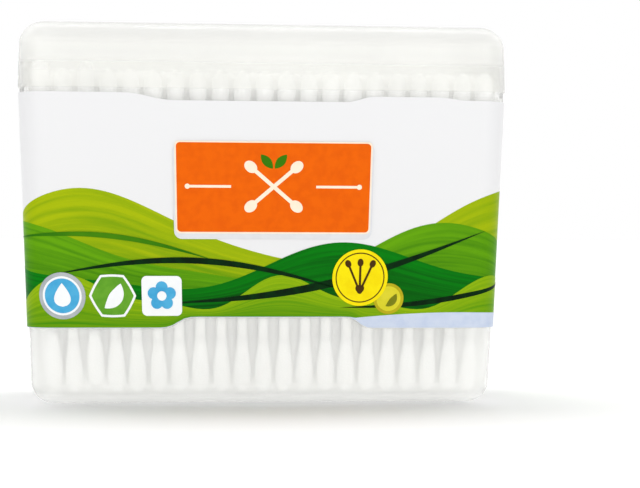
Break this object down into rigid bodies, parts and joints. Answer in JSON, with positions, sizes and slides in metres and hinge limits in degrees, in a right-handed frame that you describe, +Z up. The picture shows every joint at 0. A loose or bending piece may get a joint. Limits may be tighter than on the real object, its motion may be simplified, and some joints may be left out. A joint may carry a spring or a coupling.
{
  "type": "cotton swab box",
  "caption": "Tapered frosted plastic box of cotton swabs with a hinged lid and a wrap-round printed film label.",
  "frame": {"origin": "on the surface the box stands on, under the middle of the box", "axes": "+Z up, +X to the right seen from the front, +Y from the front to the hinged back"},
  "size_m": [0.114, 0.0485, 0.0885],
  "materials": {
    "frosted_plastic": "frosted see-through",
    "label_film": "satin printed film",
    "stem_paper": "smooth white",
    "cotton": "soft wound cotton"
  },
  "bodies": {
    "box": {"box_body": "frosted_plastic", "label": "label_film", "swab_stems_row_01": "stem_paper", "swab_stems_row_02": "stem_paper", "swab_stems_row_03": "stem_paper", "swab_stems_row_04": "stem_paper", "swab_stems_row_05": "stem_paper", "swab_stems_row_06": "stem_paper", "swab_stems_row_07": "stem_paper", "swab_stems_row_08": "stem_paper", "swab_stems_row_09": "stem_paper", "swab_stems_row_10": "stem_paper", "cotton_tips_row_01": "cotton", "cotton_tips_row_02": "cotton", "cotton_tips_row_03": "cotton", "cotton_tips_row_04": "cotton", "cotton_tips_row_05": "cotton", "cotton_tips_row_06": "cotton", "cotton_tips_row_07": "cotton", "cotton_tips_row_08": "cotton", "cotton_tips_row_09": "cotton", "cotton_tips_row_10": "cotton"},
    "lid": {"lid": "frosted_plastic"}
  },
  "joints": [
    {"name": "lid_hinge", "type": "hinge", "parent": "box", "child": "lid", "pos_m": [0, 0.02451, 0.073], "axis": [-1, 0, 0], "range_deg": [0, 165]}
  ]
}
